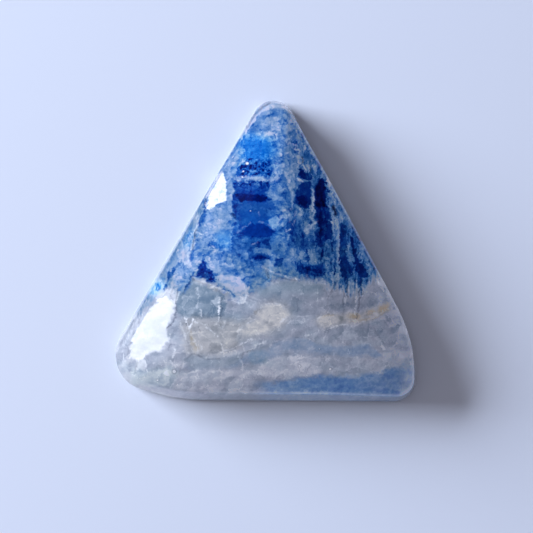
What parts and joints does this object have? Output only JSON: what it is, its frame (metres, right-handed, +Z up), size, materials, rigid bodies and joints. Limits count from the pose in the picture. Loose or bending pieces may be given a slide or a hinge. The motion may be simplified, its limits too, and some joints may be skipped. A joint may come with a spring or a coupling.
{
  "type": "triangular cabochon",
  "caption": "Triangular polished cabochon of banded blue and white scheelite, with a low dome, a leaning edge wall and a flat back.",
  "frame": {"origin": "middle of the bounding box's bottom face, on the stone's flat back", "axes": "+Z up out of the dome, +Y towards the tip of the triangle, +X to the right along the long edge opposite the tip"},
  "size_m": [0.03, 0.0302, 0.0058],
  "materials": {
    "polished_scheelite": "polished"
  },
  "bodies": {
    "root": {"scheelite_cabochon": "polished_scheelite"}
  },
  "joints": []
}
